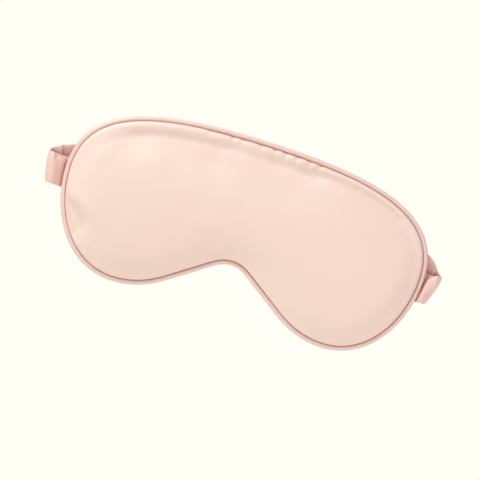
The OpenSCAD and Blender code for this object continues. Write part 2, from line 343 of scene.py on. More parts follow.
def line_distance(x, z, path):
    """Distance to a line of points, signed (positive on its left), and the share of it that is behind."""
    path = np.array(path) * MM
    best = np.full(x.shape, 1e9)
    share = np.zeros(x.shape)
    signed = np.zeros(x.shape)
    for k, (a, b) in enumerate(zip(path[:-1], path[1:])):
        d = b - a
        t = np.clip(((x - a[0]) * d[0] + (z - a[1]) * d[1]) / (d @ d), 0, 1)
        gap = np.hypot(x - a[0] - t * d[0], z - a[1] - t * d[1])
        nearer = gap < best
        best[nearer] = gap[nearer]
        share[nearer] = (k + t[nearer]) / (len(path) - 1)
        left = d[0] * (z - a[1]) - d[1] * (x - a[0])
        signed[nearer] = (np.sign(left) * gap)[nearer]
    return signed, share


def along(share):
    return np.sin(np.pi * np.clip(share, 0, 1))


def valley(x, z, path, depth, width):
    """A soft hollow along a path, deepest at mid-length."""
    gap, share = line_distance(x, z, path)
    return -depth * np.exp(-(gap / width) ** 2) * along(share)


def step_down(x, z, path, height, width):
    """A soft fold: the cloth drops away on the path's right and comes back slowly, less along the path."""
    gap, share = line_distance(x, z, path)
    drop = ramp(-gap, 0, width) * (1 - ramp(-gap, width, 4 * width))
    return -height * drop * (1 - ramp(share, 0.5, 1))


def seam_distance(x, z):
    best = np.full(x.shape, 1e9)
    for a in resample(seam_outline, 2 * MM):
        best = np.minimum(best, np.hypot(x - a[0], z - a[1]))
    return best


STRAP_MARGIN = 0.6 * MM          # how far a panel stays lifted beside the strap's sewn end
STRAP_FADE = 2.6 * MM            # and how far on it comes down


def over_strap(x, z):
    """1 behind a sewn end of the strap, 0 away from it."""
    far = (np.abs(z - STRAP_Z) - STRAP_W / 2 - STRAP_MARGIN) / STRAP_FADE
    fade = (1 + np.cos(np.pi * np.clip(far, 0, 1))) / 2
    return np.where(np.abs(x) > piping_high.x / 2, fade, 0)


# ---- panels ----

RIM_STEP = 0.95 * MM
FILL_STEP = 1.5 * MM
DOME_POWER = 0.5
# how far each row of the rolled hem stands out from the seam in mm, and its share of the way up, in turn
HEM = ((0, 0), (0.26, 0.10), (0.38, 0.26), (0.26, 0.44), (-0.1, 0.62), (-0.8, 0.80), (-1.7, 0.92), (-2.7, 1))
# x in mm of each hand stitch that draws the brow edge in, and how hard
GATHER = ((-34, 0.5), (-20.5, 1), (-15, 0.7), (-4, 0.55), (4, 0.7), (10.5, 0.9), (17, 0.8), (24.5, 0.9),
          (30.5, 1.25), (48, 0.4))
SLANTED = ((-19.4, 1), (4.3, 0.7), (25.5, 0.9))   # the stitches from which a fold runs down and back
BROW_HEIGHT = (20 * MM, 30 * MM)          # z between which the seam comes to count as brow
OPEN_FROM = (-38 * MM, -30 * MM)          # x between which the hand sewing begins
OPEN_TO = (36 * MM, 52 * MM)              # and ends
PRESSURE = 0.35                           # of the air that fills a sheet while it settles
MOST_MOVE = 0.65 * MM
TAUT = (3 * MM, 12 * MM)                  # distances from a machine-sewn seam at which cloth comes free

seam_ring = resample(seam_outline, RIM_STEP)
RIM = len(seam_ring)
rim_normal = outward(seam_ring)


def brow_z(x):
    """Height of the seam along the brow."""
    top = seam_ring[seam_ring[:, 1] > 0]
    order = np.argsort(top[:, 0])
    return np.interp(x, top[order, 0], top[order, 1])


def drawn_in(x, z, width):
    """1 at a hand stitch of the brow, 0 between stitches."""
    pull = np.zeros(x.shape)
    for at, strength in GATHER:
        pull = np.maximum(pull, strength * np.exp(-((x - at * MM) / width) ** 2))
    return pull * ramp(z, *BROW_HEIGHT)


def sewn_by_hand(x, z):
    """1 along the closed part of the brow seam."""
    return ramp(x, *OPEN_FROM) * (1 - ramp(x, *OPEN_TO)) * ramp(z, *BROW_HEIGHT)


def panel_sheet(height, edge, sewn_lift, side, hem_out):
    """The panel before it is filled: a hem in rows, then an even sheet. (points, faces), seam row first.

    The hem swells between the hand stitches of the brow and is nipped in at them."""
    rows = []
    x, z = seam_ring.T
    inner = grown(seam_ring, HEM[-1][0] * MM)
    top = height * crown(inner[:, 0], inner[:, 1], DOME_POWER)
    pull = drawn_in(x, z, 1.4 * MM)
    bulge = 1 + 1.4 * sewn_by_hand(x, z) * (0.5 - 1.3 * pull)
    for out, share in HEM[:-1]:
        reach = out * MM * (hem_out * bulge if out > 0 else 1)
        at = seam_ring + rim_normal * np.broadcast_to(reach, x.shape)[:, None]
        rise = share * top * (1 - 0.2 * pull)
        lift = sewn_lift * over_strap(at[:, 0], at[:, 1]) * (1 - ramp(rise, 0, top))
        rows.append(np.column_stack([at[:, 0], side * (edge + rise + lift), at[:, 1]]))
    flat, faces = filling(inner, FILL_STEP)
    rise = height * crown(flat[:, 0], flat[:, 1], DOME_POWER)
    rows.append(np.column_stack([flat[:, 0], side * (edge + rise), flat[:, 1]]))
    start = RIM * (len(HEM) - 1)
    faces = [tuple(i + start for i in f) for f in faces]
    for k in range(len(HEM) - 1):
        faces += [q[::-1] for q in ring_faces(RIM * k, RIM * (k + 1), RIM)]
    return np.vstack(rows), [f if side < 0 else f[::-1] for f in faces]


def settle(points, faces, brow_open):
    """The sheet after cloth simulation. Its seam row is pinned, an open brow only at its hand stitches."""
    x, z = points[:, 0], points[:, 2]
    pinned = np.zeros(len(points))
    pinned[:RIM] = 1
    loose = np.zeros(len(points))
    if brow_open:
        free = sewn_by_hand(x, z) > 0.5
        pinned[:RIM][free[:RIM]] = (drawn_in(x, z, 0.9 * MM) > 0.35)[:RIM][free[:RIM]]
        below = brow_z(x) - z
        loose = sewn_by_hand(x, z) * np.exp(-(below / (7 * MM)) ** 2)
    taut = (1 - ramp(seam_distance(x, z), *TAUT)) * (1 - sewn_by_hand(x, z))
    return simulate(points, faces, pinned, loose, taut, PRESSURE, MOST_MOVE)


# folds of the front panel, as (x, z) points in mm
LOW_FOLD = ((-106, -9.5), (-97, -12), (-88, -16), (-79, -23), (-72, -32))
NOSE_VALLEYS = (
    (((-26, 8), (-31, -4), (-37, -16), (-48, -28)), 0.35 * MM, 5 * MM),
    (((-2, -12), (12, -19), (30, -27), (52, -36)), 0.6 * MM, 4.5 * MM),
)                                # each has a path, a depth and a width
HEM_RISE = 4.0 * MM              # from the foot of the brow hem's hollow to its crest
HEM_HOLLOW = 3.7 * MM            # depth of the hollow at its foot
HOLLOW_LIMIT = 0.78              # the largest share of the dome's height that each fold may take
FOLD_LIMIT = 0.62
SCULPT_LIMIT = 0.8
BACK_DENT = 0.55 * MM            # depth, place and width of the dent beside the back panel's seam
BACK_DENT_AT = 6.5 * MM
BACK_DENT_WIDTH = 2.6 * MM
# lumps of the wadding: height, size, seed, and the distance from the seam over which they set in
FRONT_LUMPS = ((0.3 * MM, 26 * MM, 3.1, 12 * MM), (0.06 * MM, 8 * MM, 7.7, 6 * MM))
BACK_LUMPS = ((0.35 * MM, 24 * MM, 11.3, 12 * MM), (0.08 * MM, 8 * MM, 5.2, 6 * MM))


def lumpy(x, z, d, lumps):
    return sum(height * soft_noise(x, z, size, seed) * ramp(d, 0, fade)
               for height, size, seed, fade in lumps)


def brow_hem(x, z, d, stands):
    """The padded hem at the brow: up at the seam, down to a foot, and slowly back beyond it."""
    hemmed = ramp(z, -12 * MM, 30 * MM) * (1 - 0.75 * ramp(-x, 68 * MM, 92 * MM))
    hemmed *= (1 - 0.35 * ramp(x, 20 * MM, 50 * MM)) * (1 - 0.85 * ramp(x, 80 * MM, 100 * MM))
    narrow = ramp(x, 15 * MM, 50 * MM)
    crest = 1.7 * MM - 0.7 * MM * narrow
    foot = 8.2 * MM - 3.4 * MM * narrow
    reach = 16 * MM + 20 * MM * ramp(x, -62 * MM, -34 * MM)
    rise = HEM_RISE * (1 - ramp(d, crest, foot))
    hollow = HEM_HOLLOW * np.exp(-((np.maximum(d, foot) - foot) / reach) ** 2)
    waver = 1 + 0.2 * soft_noise(x, z, 18 * MM, 2.2)
    return np.maximum((rise - hollow) * hemmed * waver, -HOLLOW_LIMIT * stands)


def side_fold(x, z, stands):
    """The fold at the lower left: a low ridge, and a step down under it."""
    fold = step_down(x, z, LOW_FOLD, 4.0 * MM, 12 * MM) - valley(x, z, LOW_FOLD, 0.7 * MM, 5 * MM)
    return np.maximum(fold, -FOLD_LIMIT * stands)


def stitch_dimples(x, z):
    """The short valley under each hand stitch, and the slanted folds."""
    push = np.zeros(x.shape)
    for at, strength in GATHER:
        top = float(brow_z(np.array([at * MM]))[0]) / MM
        line = [(at, top + 1.5), (at + 0.3, top - 2), (at - 0.8, top - 6)]
        push += valley(x, z, line, 0.32 * strength * MM, 1.5 * MM)
    for at, strength in SLANTED:
        top = float(brow_z(np.array([at * MM]))[0]) / MM
        line = [(at + 5, top - 1.5), (at + 2.5, top - 4.5), (at - 1, top - 8)]
        push += valley(x, z, line, 0.55 * strength * MM, 3.2 * MM)
    return push


def front_sculpt(p):
    """The hollows and folds that wadding, hem allowance and hand stitches leave in the front panel."""
    x, z = p[:, 0], p[:, 2]
    d = seam_distance(x, z)
    stands = -p[:, 1] - FRONT_EDGE
    push = brow_hem(x, z, d, stands) + side_fold(x, z, stands) + stitch_dimples(x, z)
    for path, depth, width in NOSE_VALLEYS:
        push += valley(x, z, path, depth, width)
    push += lumpy(x, z, d, FRONT_LUMPS)
    p[:, 1] -= np.maximum(push, -SCULPT_LIMIT * stands) * ramp(d, 0, 1.5 * MM)
    return p


def back_sculpt(p):
    """The flatter face side, dented by its own hem."""
    x, z = p[:, 0], p[:, 2]
    d = seam_distance(x, z)
    dent = -BACK_DENT * np.exp(-((d - BACK_DENT_AT) / BACK_DENT_WIDTH) ** 2) * (1 - over_strap(x, z))
    p[:, 1] += dent + lumpy(x, z, d, BACK_LUMPS)
    return p


ALLOWANCE = (0.4 * MM, 2.2 * MM, 4.2 * MM)   # the turned-in rows of the seam allowance, from the seam


def finish_panel(name, points, faces, side):
    """Turns the seam row in as a seam allowance, and gives the cloth its thickness."""
    n = len(points)
    inward = np.column_stack([-rim_normal[:, 0], np.zeros(RIM), -rim_normal[:, 1]])
    turned = [points[:RIM] + inward * reach for reach in ALLOWANCE]
    every = np.vstack([points] + turned)
    quads = []
    for a, b in ((0, n), (n, n + RIM), (n + RIM, n + 2 * RIM)):
        quads += ring_faces(a, b, RIM)
    obj = make_object(name, every, faces + [q if side < 0 else q[::-1] for q in quads])
    subdivide(obj)
    thicken(obj, SATIN_T)
    return obj


SEWN_LIFT = STRAP_Y + STRAP_T / 2 - BACK_EDGE   # the back panel goes over the strap's sewn ends

front_points, front_faces = panel_sheet(FRONT_DOME, FRONT_EDGE, sewn_lift=0, side=-1, hem_out=1)
front_points = front_sculpt(settle(front_points, front_faces, brow_open=True))
front_panel = finish_panel("front_panel_satin", front_points, front_faces, -1)

back_points, back_faces = panel_sheet(BACK_DOME, BACK_EDGE, SEWN_LIFT, side=1, hem_out=0.6)
back_points = back_sculpt(settle(back_points, back_faces, brow_open=False))
back_panel = finish_panel("back_panel_satin", back_points, back_faces, 1)


# ---- piping ----

def sweep_ring(name, centre, section):
    """Sweeps a cross-section round a closed outline. section(i) gives (outward, y) pairs."""
    normal = outward(centre)
    rows = []
    for i, (c, n) in enumerate(zip(centre, normal)):
        rows.append([(c[0] + n[0] * s[0], s[1], c[1] + n[1] * s[0]) for s in section(i)])
    k = len(rows[0])
    m = len(rows)
    faces = [(i * k + j, i * k + (j + 1) % k, (i + 1) % m * k + (j + 1) % k, (i + 1) % m * k + j)
             for i in range(m) for j in range(k)]
    return make_object(name, [v for row in rows for v in row], faces)


PIPING_STEP = 0.8 * MM
PIPING_WALL = 0.27 * MM
PIPING_SLIT = 0.03 * MM          # half the gap between the strip's two flat edges
FLANGE = 5.6 * MM                # reach of the strip's two flat edges, from the cord's middle
FLANGE_LIP = 0.29 * MM           # their half thickness
CORD_R = 0.93 * MM
CORD_STRANDS = 3
CORD_PITCH = 4.4 * MM

piping_centre = resample(piping_outline, PIPING_STEP)


def open_arc(radius, gap, count):
    """An arc round the cord, open on its inner side by gap each way from its middle plane."""
    first = math.asin(gap / radius)
    return [(-radius * math.cos(a), radius * math.sin(a))
            for a in np.linspace(first, 2 * math.pi - first, count)]


def wrapped(i):
    """Section at step i of the strip round its cord, its two edges lying together as a flange."""
    x, z = piping_centre[i] / (5 * MM)
    radius = PIPING_R * (1 + 0.022 * noise.noise(Vector((x, 2.0, z))))
    outer = open_arc(radius, FLANGE_LIP, 20)
    inner = open_arc(PIPING_R - PIPING_WALL, PIPING_SLIT, 14)[::-1]
    return ([(-FLANGE, FLANGE_LIP)] + outer + [(-FLANGE, -FLANGE_LIP), (-FLANGE, -PIPING_SLIT)]
            + inner + [(-FLANGE, PIPING_SLIT)])


def twisted(i):
    """Section of the twisted cord at its step i."""
    turn = 2 * math.pi * i * PIPING_STEP / CORD_PITCH
    section = []
    for a in round_turns(18):
        r = CORD_R * (1 + 0.1 * abs(math.sin(CORD_STRANDS * (a - turn) / 2)))
        section.append((r * math.cos(a), r * math.sin(a)))
    return section


piping = sweep_ring("piping_bias_strip", piping_centre, wrapped)
cord = sweep_ring("piping_cotton_cord", piping_centre, twisted)


# ---- edge seam ----

THREAD_INSET = 1.0 * MM          # from the seam, on its allowance
THREAD_STEP = 0.8 * MM


def seam_run(side, level):
    """Points of a thread on one seam allowance, open along the brow that is closed by hand."""
    line = resample(grown(seam_outline, -THREAD_INSET), THREAD_STEP)
    top = np.argmax(line[:, 1] - np.abs(line[:, 0]))
    line = np.roll(line, -top, axis=0)
    line = line[~((np.abs(line[:, 0]) < HAND_SEWN) & (line[:, 1] > 0))]
    lift = SEWN_LIFT * over_strap(line[:, 0], line[:, 1]) if side > 0 else 0
    height = np.broadcast_to(side * (level + lift), len(line))
    return np.column_stack([line[:, 0], height, line[:, 1]])


def seam_thread(side, level, first):
    """A thread's vertices and faces, counted from first."""
    run = seam_run(side, level)
    normal = outward(run[:, [0, 2]])
    rows = []
    for i, (p, n) in enumerate(zip(run, normal)):
        r = THREAD_R * (1 + 0.12 * math.sin(2.4 * i))
        rows.append([(p[0] + n[0] * r * math.cos(t), p[1] + r * math.sin(t), p[2] + n[1] * r * math.cos(t))
                     for t in round_turns(8)])
    return tube(rows, first)


front_verts, front_quads = seam_thread(-1, FRONT_EDGE + SATIN_T + THREAD_GAP, 0)
back_verts, back_quads = seam_thread(1, BACK_EDGE + SATIN_T + THREAD_GAP, len(front_verts))
edge_seam = make_object("edge_seam_thread", front_verts + back_verts, front_quads + back_quads)


# ---- wadding ----

WADDING_STEP = 3 * MM
WADDING_GAP = 0.25 * MM          # between the satin and the highest fibres
WADDING_THIN = 0.15 * MM


def under_panel(panel_points, panel_faces):
    """A search tree of the panel's shape, so that wadding can be fitted under it."""
    return BVHTree.FromPolygons([tuple(p) for p in panel_points], panel_faces)


def build_wadding(name, side, panel, floor, inset):
    """A pad under a panel, from floor up to just below the satin, set in from the seam."""
    edge = resample(grown(seam_outline, -inset), WADDING_STEP)
    flat, faces = filling(edge, WADDING_STEP)
    n, rim = len(flat), len(edge)
    top = []
    for x, z in flat:
        hit = panel.ray_cast(Vector((x, side, z)), Vector((0, -side, 0)))[0]
        loft = 0.25 * MM * (1 + noise.noise(Vector((x, 9 * MM, z)) / (5 * MM)))
        stands = max(side * hit.y - SATIN_T - WADDING_GAP - loft, floor + WADDING_THIN)
        top.append((x, side * stands, z))
    under = [(x, side * floor, z) for x, z in flat]
    solid = list(faces) + [tuple(i + n for i in f[::-1]) for f in faces]
    solid += [(i, i + n, (i + 1) % rim + n, (i + 1) % rim) for i in range(rim)]
    obj = make_object(name, top + under, solid if side < 0 else [f[::-1] for f in solid])
    subdivide(obj)
    return obj


front_wadding = build_wadding("front_wadding_pad", -1, under_panel(front_points, front_faces),
                              floor=FRONT_EDGE + 0.5 * MM, inset=4.8 * MM)
back_wadding = build_wadding("back_wadding_pad", 1, under_panel(back_points, back_faces),
                             floor=BACK_EDGE + 0.15 * MM, inset=6.4 * MM)


# ---- strap ----

class LoopSide:
    """One half of the strap: out of the side seam, round an open loop, and back to the middle behind.

    A station s runs along the strap from its sewn end. A point has a, across the strap, and b, outward from
    the loop. The loop is rolled about a leaning axis, so the strap climbs behind the mask. It also rises by
    hike past its turn, and hangs by sag in it. crest is the (x, y) of the loop's front, and reach its
    widest x, both in mm from the loop's foot."""
    STEP = 0.25 * MM
    HIKE_RUN = (-1 * MM, 12 * MM)    # where the hike starts and ends, from the turn
    SAG_AT = 5.5 * MM
    SAG_RUN = 5 * MM

    def __init__(self, sign, lean, drop, crest, reach, hike, sag):
        self.sign = sign
        self.hike = hike
        self.sag = sag
        self.z = STRAP_Z + drop
        self.axis_up = np.array([math.sin(lean), 0, math.cos(lean)])
        self.axis_out = np.array([math.cos(lean), 0, -math.sin(lean)])
        self.lean = lean
        self.foot = np.array([TURN_X, 0, self.z])
        start = (SEWN_X - self.foot[0]) * math.cos(lean)
        front, back = STRAP_Y / MM, BACK_Y / MM
        out, near = crest
        knots = [(start / MM, front), (-7, front), (-4.4, front - 0.1),
                 ((out - 4.4) / 2, (front + near) / 2), (out, near), (reach - 0.7, near + 1.3),
                 (reach, near + 4.1), (reach - 0.7, back - 1.9), (reach - 3.2, back - 0.1),
                 (-3, back), (-9, back)]
        self.path = smooth_path(np.array(knots) * MM, self.STEP)
        self.length = (len(self.path) - 1) * self.STEP / math.cos(lean)
        widest = int(np.argmax(self.path[:, 0]))
        self.turn = widest * self.STEP
        tail = STRAP_W / 2 * math.tan(lean)
        self.loop = self.length + tail
        end = self.rolled(self.loop, 0, 0)
        ahead = self.rolled(self.loop + MM, 0, 0) - end
        self.behind = arch(end[[0, 2]], ahead[[0, 2]] / MM, self.STEP)
        self.half = self.loop + (len(self.behind) - 1) * self.STEP

    def rolled(self, s, a, b):
        """The point on the loop, which is bent out of a flat strip that leans."""
        u = s * math.cos(self.lean) - a * math.sin(self.lean)
        v = s * math.sin(self.lean) + a * math.cos(self.lean)
        v += self.path[0][0] * math.tan(self.lean)
        point, tangent = on_path(self.path, u, self.STEP)
        normal = np.array([tangent[1], -tangent[0]])
        point = point + b * normal
        v += self.hike * float(ramp(u - self.turn, *self.HIKE_RUN))
        v -= self.sag * bell(u - self.turn, self.SAG_AT, self.SAG_RUN)
        return self.foot + point[0] * self.axis_out + np.array([0, point[1], 0]) + v * self.axis_up

    def at(self, s, a, b):
        """The point in the mask's own frame."""
        if s <= self.loop:
            p = self.rolled(s, a, b)
        else:
            middle, tangent = on_path(self.behind, s - self.loop, self.STEP)
            p = np.array([middle[0] + tangent[1] * a, BACK_Y + b, middle[1] - tangent[0] * a])
        return (self.sign * p[0], p[1], p[2])


def on_path(path, s, step):
    """Point and direction at a length along an evenly stepped line, straight on beyond its ends."""
    k = min(max(s / step, 0), len(path) - 1)
    i = min(int(k), len(path) - 2)
    before, after = path[max(i - 1, 0)], path[min(i + 2, len(path) - 1)]
    tangent = (path[i + 1] - path[i]) * 2 + (after - before)
    tangent = tangent / np.hypot(*tangent)
    point = path[i] + (path[i + 1] - path[i]) * (k - i)
    return point + tangent * (s - k * step), tangent


def even_steps(points, step):
    """The same open line with evenly spaced points."""
    lengths = np.concatenate([[0], np.cumsum(np.hypot(*np.diff(points, axis=0).T))])
    count = max(2, int(round(lengths[-1] / step)) + 1)
    at = np.arange(count) * step
    return np.column_stack([np.interp(at, lengths, points[:, k]) for k in (0, 1)])


def smooth_path(knots, step):
    """A Catmull-Rom curve through the knots, softened, in even steps."""
    padded = np.vstack([2 * knots[0] - knots[1], knots, 2 * knots[-1] - knots[-2]])
    points = []
    for p0, p1, p2, p3 in zip(padded, padded[1:], padded[2:], padded[3:]):
        for t in np.linspace(0, 1, 24, endpoint=False):
            points.append(0.5 * (2 * p1 + (p2 - p0) * t + (2 * p0 - 5 * p1 + 4 * p2 - p3) * t ** 2
                                 + (3 * p1 - p0 - 3 * p2 + p3) * t ** 3))
    points = even_steps(np.array(points + [knots[-1]]), step)
    for _ in range(10):
        points[1:-1] = (points[:-2] + 2 * points[1:-1] + points[2:]) / 4
    return even_steps(points, step)


def arch(start, direction, step):
    """The run behind the mask: from the loop's end up to the middle, where it is level."""
    top = np.array([0, ARCH_TOP])
    pull = np.hypot(*(top - start))
    t = np.linspace(0, 1, 400)[:, None]
    level = np.array([-1.0, 0.0])
    points = ((2 * t ** 3 - 3 * t ** 2 + 1) * start + (t ** 3 - 2 * t ** 2 + t) * pull * direction
              + (3 * t ** 2 - 2 * t ** 3) * top + (t ** 3 - t ** 2) * pull * level)
    return even_steps(points, step)


sides = (LoopSide(-1, lean=math.radians(10), drop=0.7 * MM, crest=(2.6, -1.7), reach=5.5,
                  hike=2.0 * MM, sag=0.3 * MM),
         LoopSide(1, lean=math.radians(16), drop=-0.6 * MM, crest=(-0.8, -0.9), reach=2.6,
                  hike=1.2 * MM, sag=2.1 * MM))


def strap_section(half_w, half_t, edge_t, count):
    """Section of a flat tube, round and thin at its edges: (a, b) points."""
    shape = []
    for k in range(count):
        angle = 2 * math.pi * k / count
        a = half_w * math.copysign(abs(math.cos(angle)) ** 0.8, math.cos(angle))
        fill = max(0.0, 1 - (abs(a) / half_w) ** 5)
        b = edge_t + (half_t - edge_t) * fill
        shape.append((a, b * math.copysign(abs(math.sin(angle)) ** 0.4, math.sin(angle))))
    return shape


# creases of the loops: (s, a, depth outward, reach along, reach across), in mm from the sewn end
LOOP_CREASES = (
    ((15.0, 6.4, -0.8, 1.4, 1.5), (13.0, 9.8, -1.5, 7, 3.0), (11.2, 5.0, 0.4, 2.5, 3),
     (33.5, 2, -0.9, 1.1, 9), (36.0, 2, 0.9, 1.4, 9)),
    ((12.6, 1.0, -0.35, 0.6, 9), (11.2, -3.0, 0.25, 1.0, 7), (14.4, -2.5, -0.7, 1.5, 8),
     (12.0, 9.8, -1.2, 6, 3), (27.5, 2, 0.8, 1.0, 9), (29.6, 2, -0.9, 1.1, 9)),
)


def strap_ripple(side, s, a):
    """How far the strap bends outward at a point: the creases of its loop, then gathers behind the mask."""
    number = 0 if side.sign < 0 else 1
    bend = sum(depth * bell(s, at * MM, run * MM) * bell(a, across * MM, wide * MM)
               for at, across, depth, run, wide in LOOP_CREASES[number])
    wave = noise.noise(Vector((s / (6 * MM), a / (12 * MM), 3.0 + number)))
    return (bend + 0.25 * wave * float(ramp(s, 6 * MM, 10 * MM))) * MM


GATHER_PITCH = 3.0 * MM
GATHER_LOOP = 0.08 * MM          # height of the satin's gathers in the loops
GATHER_BEHIND = 0.62 * MM        # and how much higher they are behind the mask


def strap_gather(side, s, a):
    """How far the satin stands off the elastic: short cross ripples behind the mask."""
    behind = float(ramp(s, side.loop - 4 * MM, side.loop + 10 * MM))
    seed = 4.0 + side.sign
    phase = s / GATHER_PITCH + 1.2 * noise.noise(Vector((s / (7 * MM), a / (15 * MM), seed)))
    strength = 0.55 + 0.45 * noise.noise(Vector((s / (8 * MM), a / (5 * MM), 2 * seed)))
    ripple = (0.5 + 0.5 * math.sin(2 * math.pi * phase)) * strength
    return (GATHER_LOOP + GATHER_BEHIND * behind) * max(ripple, 0)


def strap_width(side, s):
    """Width share: gathers nip the edges in."""
    behind = float(ramp(s, side.loop - 6 * MM, side.loop + 6 * MM))
    return 1 + (0.02 + 0.035 * behind) * noise.noise(Vector((s / (2.6 * MM), 6.0, side.sign)))


def stations(step_loop, step_behind):
    """(side, s) from one sewn end to the other."""
    first = [(sides[0], s) for s in spaced(sides[0], step_loop, step_behind)]
    last = [(sides[1], s) for s in spaced(sides[1], step_loop, step_behind)]
    return first + last[-2::-1]


def spaced(side, step_loop, step_behind):
    near = np.linspace(0, side.loop, int(side.loop / step_loop) + 1)
    far = np.linspace(side.loop, side.half, int((side.half - side.loop) / step_behind) + 2)
    return np.concatenate([near, far[1:]])


def sweep_strap(section, gather, step_loop, step_behind):
    """Rows of points of a section swept along the whole strap."""
    rows = []
    for side, s in stations(step_loop, step_behind):
        wide = strap_width(side, s)
        row = []
        for a, b in section:
            stand = gather * math.copysign(strap_gather(side, s, a), b)
            row.append(side.at(s, a * wide, b + stand + strap_ripple(side, s, a)))
        rows.append(row)
    return rows


COVER_STEPS = (0.4 * MM, 0.55 * MM)      # along the loops, and along the run behind the mask
TUBE_HALF_T = 0.85 * MM
TUBE_WALL = 0.22 * MM
TUBE_POINTS = 40


def build_cover():
    """The hollow satin tube: outer and inner skins joined at both sewn ends."""
    outside = strap_section(STRAP_W / 2, TUBE_HALF_T, 0.34 * MM, TUBE_POINTS)
    lined = strap_section(STRAP_W / 2 - TUBE_WALL, TUBE_HALF_T - TUBE_WALL, 0.12 * MM, TUBE_POINTS)
    outer = sweep_strap(outside, 1, *COVER_STEPS)
    inner = sweep_strap(lined, 0.9, *COVER_STEPS)
    k, count = len(outer[0]), len(outer) * len(outer[0])
    faces = skin(outer) + [f[::-1] for f in skin(inner, count)]
    last = count - k
    for j in range(k):
        n = (j + 1) % k
        faces.append((j, n, count + n, count + j))
        faces.append((last + j, count + last + j, count + last + n, last + n))
    return make_object("strap_satin_tube", [v for row in outer + inner for v in row], faces)


def build_elastic():
    """A flat band, six points to a section, closed at both ends."""
    half_w, half_t = 6.4 * MM, 0.3 * MM
    section = [(-half_w, -half_t), (0, -half_t), (half_w, -half_t),
               (half_w, half_t), (0, half_t), (-half_w, half_t)]
    rows = sweep_strap(section, gather=0, step_loop=0.6 * MM, step_behind=1.2 * MM)
    last = (len(rows) - 1) * len(section)
    faces = skin(rows) + [(0, 1, 4, 5), (1, 2, 3, 4)]
    faces += [tuple(last + j for j in (5, 4, 1, 0)), tuple(last + j for j in (4, 3, 2, 1))]
    return make_object("strap_elastic_band", [v for row in rows for v in row], faces)


def build_strap_seam():
    """The thread that closes the satin tube, inside it along the run behind the mask."""
    r = 0.12 * MM
    depth = -0.45 * MM
    rows = []
    for side, s in stations(*COVER_STEPS):
        if s >= side.loop:
            bend = depth + strap_ripple(side, s, 0)
            rows.append([side.at(s, r * math.cos(t), bend + r * math.sin(t)) for t in round_turns(8)])
    return make_object("strap_seam_thread", *tube(rows))


cover = build_cover()
elastic = build_elastic()
strap_seam = build_strap_seam()


# ---- materials ----

class Nodes:
    """Builds a material from node calls."""

    def __init__(self, name):
        self.material = bpy.data.materials.new(name)
        self.material.use_nodes = True
        self.tree = self.material.node_tree
        self.shader = self.tree.nodes["Principled BSDF"]
        self.place = self.add("ShaderNodeTexCoord").outputs["Object"]

    def add(self, kind, **inputs):
        node = self.tree.nodes.new(kind)
        for key, value in inputs.items():
            self.set(node.inputs[key.replace("_", " ")], value)
        return node

    def set(self, socket, value):
        if isinstance(value, bpy.types.NodeSocket):
            self.tree.links.new(value, socket)
        else:
            socket.default_value = value

    def scaled(self, x, y, z):
        node = self.add("ShaderNodeMapping", Vector=self.place)
        node.inputs["Scale"].default_value = (x, y, z)
        return node.outputs["Vector"]

    def noise(self, vector, scale, detail=2.0):
        return self.add("ShaderNodeTexNoise", Vector=vector, Scale=scale, Detail=detail).outputs["Fac"]

    def range(self, value, low, high):
        node = self.add("ShaderNodeMapRange", Value=value)
        node.inputs["To Min"].default_value = low
        node.inputs["To Max"].default_value = high
        return node.outputs["Result"]

    def mix(self, factor, a, b, mode="MIX"):
        node = self.tree.nodes.new("ShaderNodeMix")
        node.data_type = "RGBA"
        node.blend_type = mode
        self.set(node.inputs[0], factor)
        self.set(node.inputs[6], a)
        self.set(node.inputs[7], b)
        return node.outputs[2]

    def bump(self, height, strength, distance, normal=None):
        node = self.add("ShaderNodeBump", Height=height, Strength=strength, Distance=distance)
        if normal is not None:
            self.set(node.inputs["Normal"], normal)
        return node.outputs["Normal"]


def rgba(r, g, b):
    return (r, g, b, 1)


def satin(name, colour, deep, thread_scale, gloss, roughness, painted_shade_tint, painted_shade_reach, painted_shade_ramp):
    """Warp-faced satin: fine lengthwise threads, a soft sheen, and painted shade that darkens its hollows.

    The last three arguments set the painted shade: its tint, the reach of the occlusion that finds the
    hollows, and how much of the tint is laid on from closed in to open."""
    n = Nodes(name)
    cloudy = n.noise(n.place, 34.0, 3.0)
    base = n.mix(n.range(cloudy, 0.0, 0.5), rgba(*colour), rgba(*deep))
    threads = n.noise(n.scaled(*thread_scale), 1.0, 1.0)
    base = n.mix(n.range(threads, 0.0, 0.16), base, rgba(*deep))
    # Painted shade: ambient occlusion darkens and tints the colour in hollows, grooves and creases, where
    # shade falls.
    hollow = n.add("ShaderNodeAmbientOcclusion", Distance=painted_shade_reach)
    hollow.samples = 6
    shade = n.range(hollow.outputs["AO"], *painted_shade_ramp)
    base = n.mix(shade, base, n.mix(1.0, base, rgba(*painted_shade_tint), "MULTIPLY"))
    n.set(n.shader.inputs["Base Color"], base)
    n.set(n.shader.inputs["Roughness"], n.range(n.noise(n.place, 90.0), roughness - 0.05, roughness + 0.05))
    n.shader.inputs["Specular IOR Level"].default_value = 0.3
    n.shader.inputs["Metallic"].default_value = gloss
    n.shader.inputs["Sheen Weight"].default_value = 0.15
    n.shader.inputs["Sheen Roughness"].default_value = 0.35
    n.shader.inputs["Sheen Tint"].default_value = rgba(1.0, 0.93, 0.9)
    weave = n.bump(threads, 0.25, 0.05 * MM)
    soft = n.bump(n.noise(n.place, 260.0), 0.12, 0.3 * MM, weave)
    n.set(n.shader.inputs["Normal"], soft)
    return n.material


def fibre(name, colour, scale, depth, roughness=0.95):
    """Matt fibres: wadding, lining, cord, elastic or thread."""
    n = Nodes(name)
    tangle = n.noise(n.place, scale, 6.0)
    dark = tuple(0.72 * c for c in colour)
    n.set(n.shader.inputs["Base Color"], n.mix(n.range(tangle, 0.0, 0.8), rgba(*colour), rgba(*dark)))
    n.shader.inputs["Roughness"].default_value = roughness
    n.shader.inputs["Sheen Weight"].default_value = 0.3
    n.set(n.shader.inputs["Normal"], n.bump(tangle, 0.6, depth))
    return n.material
